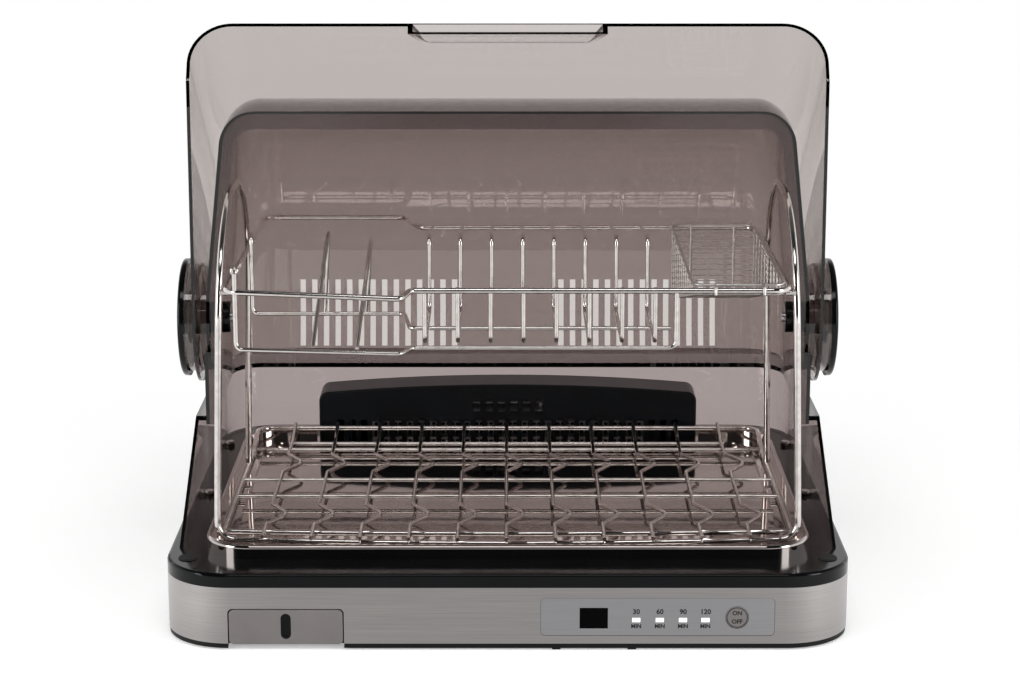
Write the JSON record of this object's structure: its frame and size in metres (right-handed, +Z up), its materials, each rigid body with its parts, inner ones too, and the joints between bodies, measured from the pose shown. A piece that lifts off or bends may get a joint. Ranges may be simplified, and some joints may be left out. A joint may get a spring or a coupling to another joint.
{
  "type": "electric dish dryer",
  "caption": "Countertop electric dish dryer with a smoked swing-up cover, wire racks over a drip tray, a drain drawer and a warm air fan in a steel-clad base.",
  "frame": {"origin": "on the ground under the middle of the base", "axes": "+Z up, +Y towards the back, +X to the right of someone who faces the front; the front cover is stored open"},
  "size_m": [0.497, 0.4, 0.4205],
  "materials": {
    "black_plastic": "matte moulded",
    "rubber": "matte",
    "brushed_steel": "brushed lengthwise",
    "gloss_black": "polished",
    "polished_steel": "polished sheet",
    "grey_plastic": "satin grey",
    "panel_grey": "brushed",
    "display_glass": "dark window",
    "board": "solder mask",
    "lens": "lit white",
    "button_grey": "satin",
    "transformer_steel": "laminated core",
    "cable_rubber": "sleeve",
    "fan_aluminium": "mill finish",
    "shaft_steel": "ground",
    "bronze": "sintered",
    "motor_steel": "zinc plated",
    "smoked_clear": "clear smoked, polished",
    "nylon": "natural",
    "screw_steel": "bright plated",
    "bright_wire": "bright plated wire"
  },
  "bodies": {
    "base": {"base_pan": "black_plastic", "rubber_feet": "rubber", "base_band": "brushed_steel", "top_deck": "gloss_black", "deck_bumpers": "rubber", "drip_tray": "polished_steel", "control_panel": "panel_grey", "display_window": "display_glass", "display_module": "board", "indicator_lenses": "lens", "power_switch": "black_plastic", "control_board": "board", "power_board": "board", "transformer": "transformer_steel", "wiring_loom": "cable_rubber", "power_gland": "rubber", "fan_housing": "gloss_black", "fan_back_panel": "black_plastic", "shaft_bush": "bronze", "fan_motor": "motor_steel", "heater_strip": "fan_aluminium", "thermal_cutout": "black_plastic", "rear_cover": "smoked_clear", "left_hinge_pin": "nylon", "right_hinge_pin": "nylon", "left_hinge_retainer": "black_plastic", "right_hinge_retainer": "black_plastic", "hinge_screws": "screw_steel", "lower_rack": "bright_wire", "left_arch": "bright_wire", "right_arch": "bright_wire", "upper_rack": "bright_wire", "plate_ribs": "bright_wire", "rack_dividers": "bright_wire", "cutlery_basket": "bright_wire", "base_screws": "screw_steel", "cover_screws": "screw_steel", "housing_screws": "screw_steel"},
    "cover": {"front_cover": "smoked_clear", "left_hub_cap": "gloss_black", "right_hub_cap": "gloss_black", "left_hinge_bush": "nylon", "right_hinge_bush": "nylon"},
    "drawer": {"drain_drawer": "grey_plastic", "drawer_grip": "gloss_black"},
    "button": {"power_button": "button_grey", "switch_plunger": "black_plastic"},
    "fan": {"crossflow_wheel": "fan_aluminium", "rotor_shaft": "shaft_steel"}
  },
  "joints": [
    {"name": "cover_hinge", "type": "hinge", "parent": "base", "child": "cover", "pos_m": [0, -0.01, 0.197], "axis": [1, 0, 0], "range_deg": [0, 123]},
    {"name": "drawer_slide", "type": "slide", "parent": "base", "child": "drawer", "axis": [0, -1, 0], "range_m": [0, 0.08]},
    {"name": "button_push", "type": "slide", "parent": "base", "child": "button", "axis": [0, 1, 0], "range_m": [0, 0.0008], "stiffness_N_per_m": 200, "springref_m": -0.002},
    {"name": "fan_spin", "type": "hinge", "parent": "base", "child": "fan", "pos_m": [0, 0.168, 0.083], "axis": [1, 0, 0], "continuous": true}
  ]
}
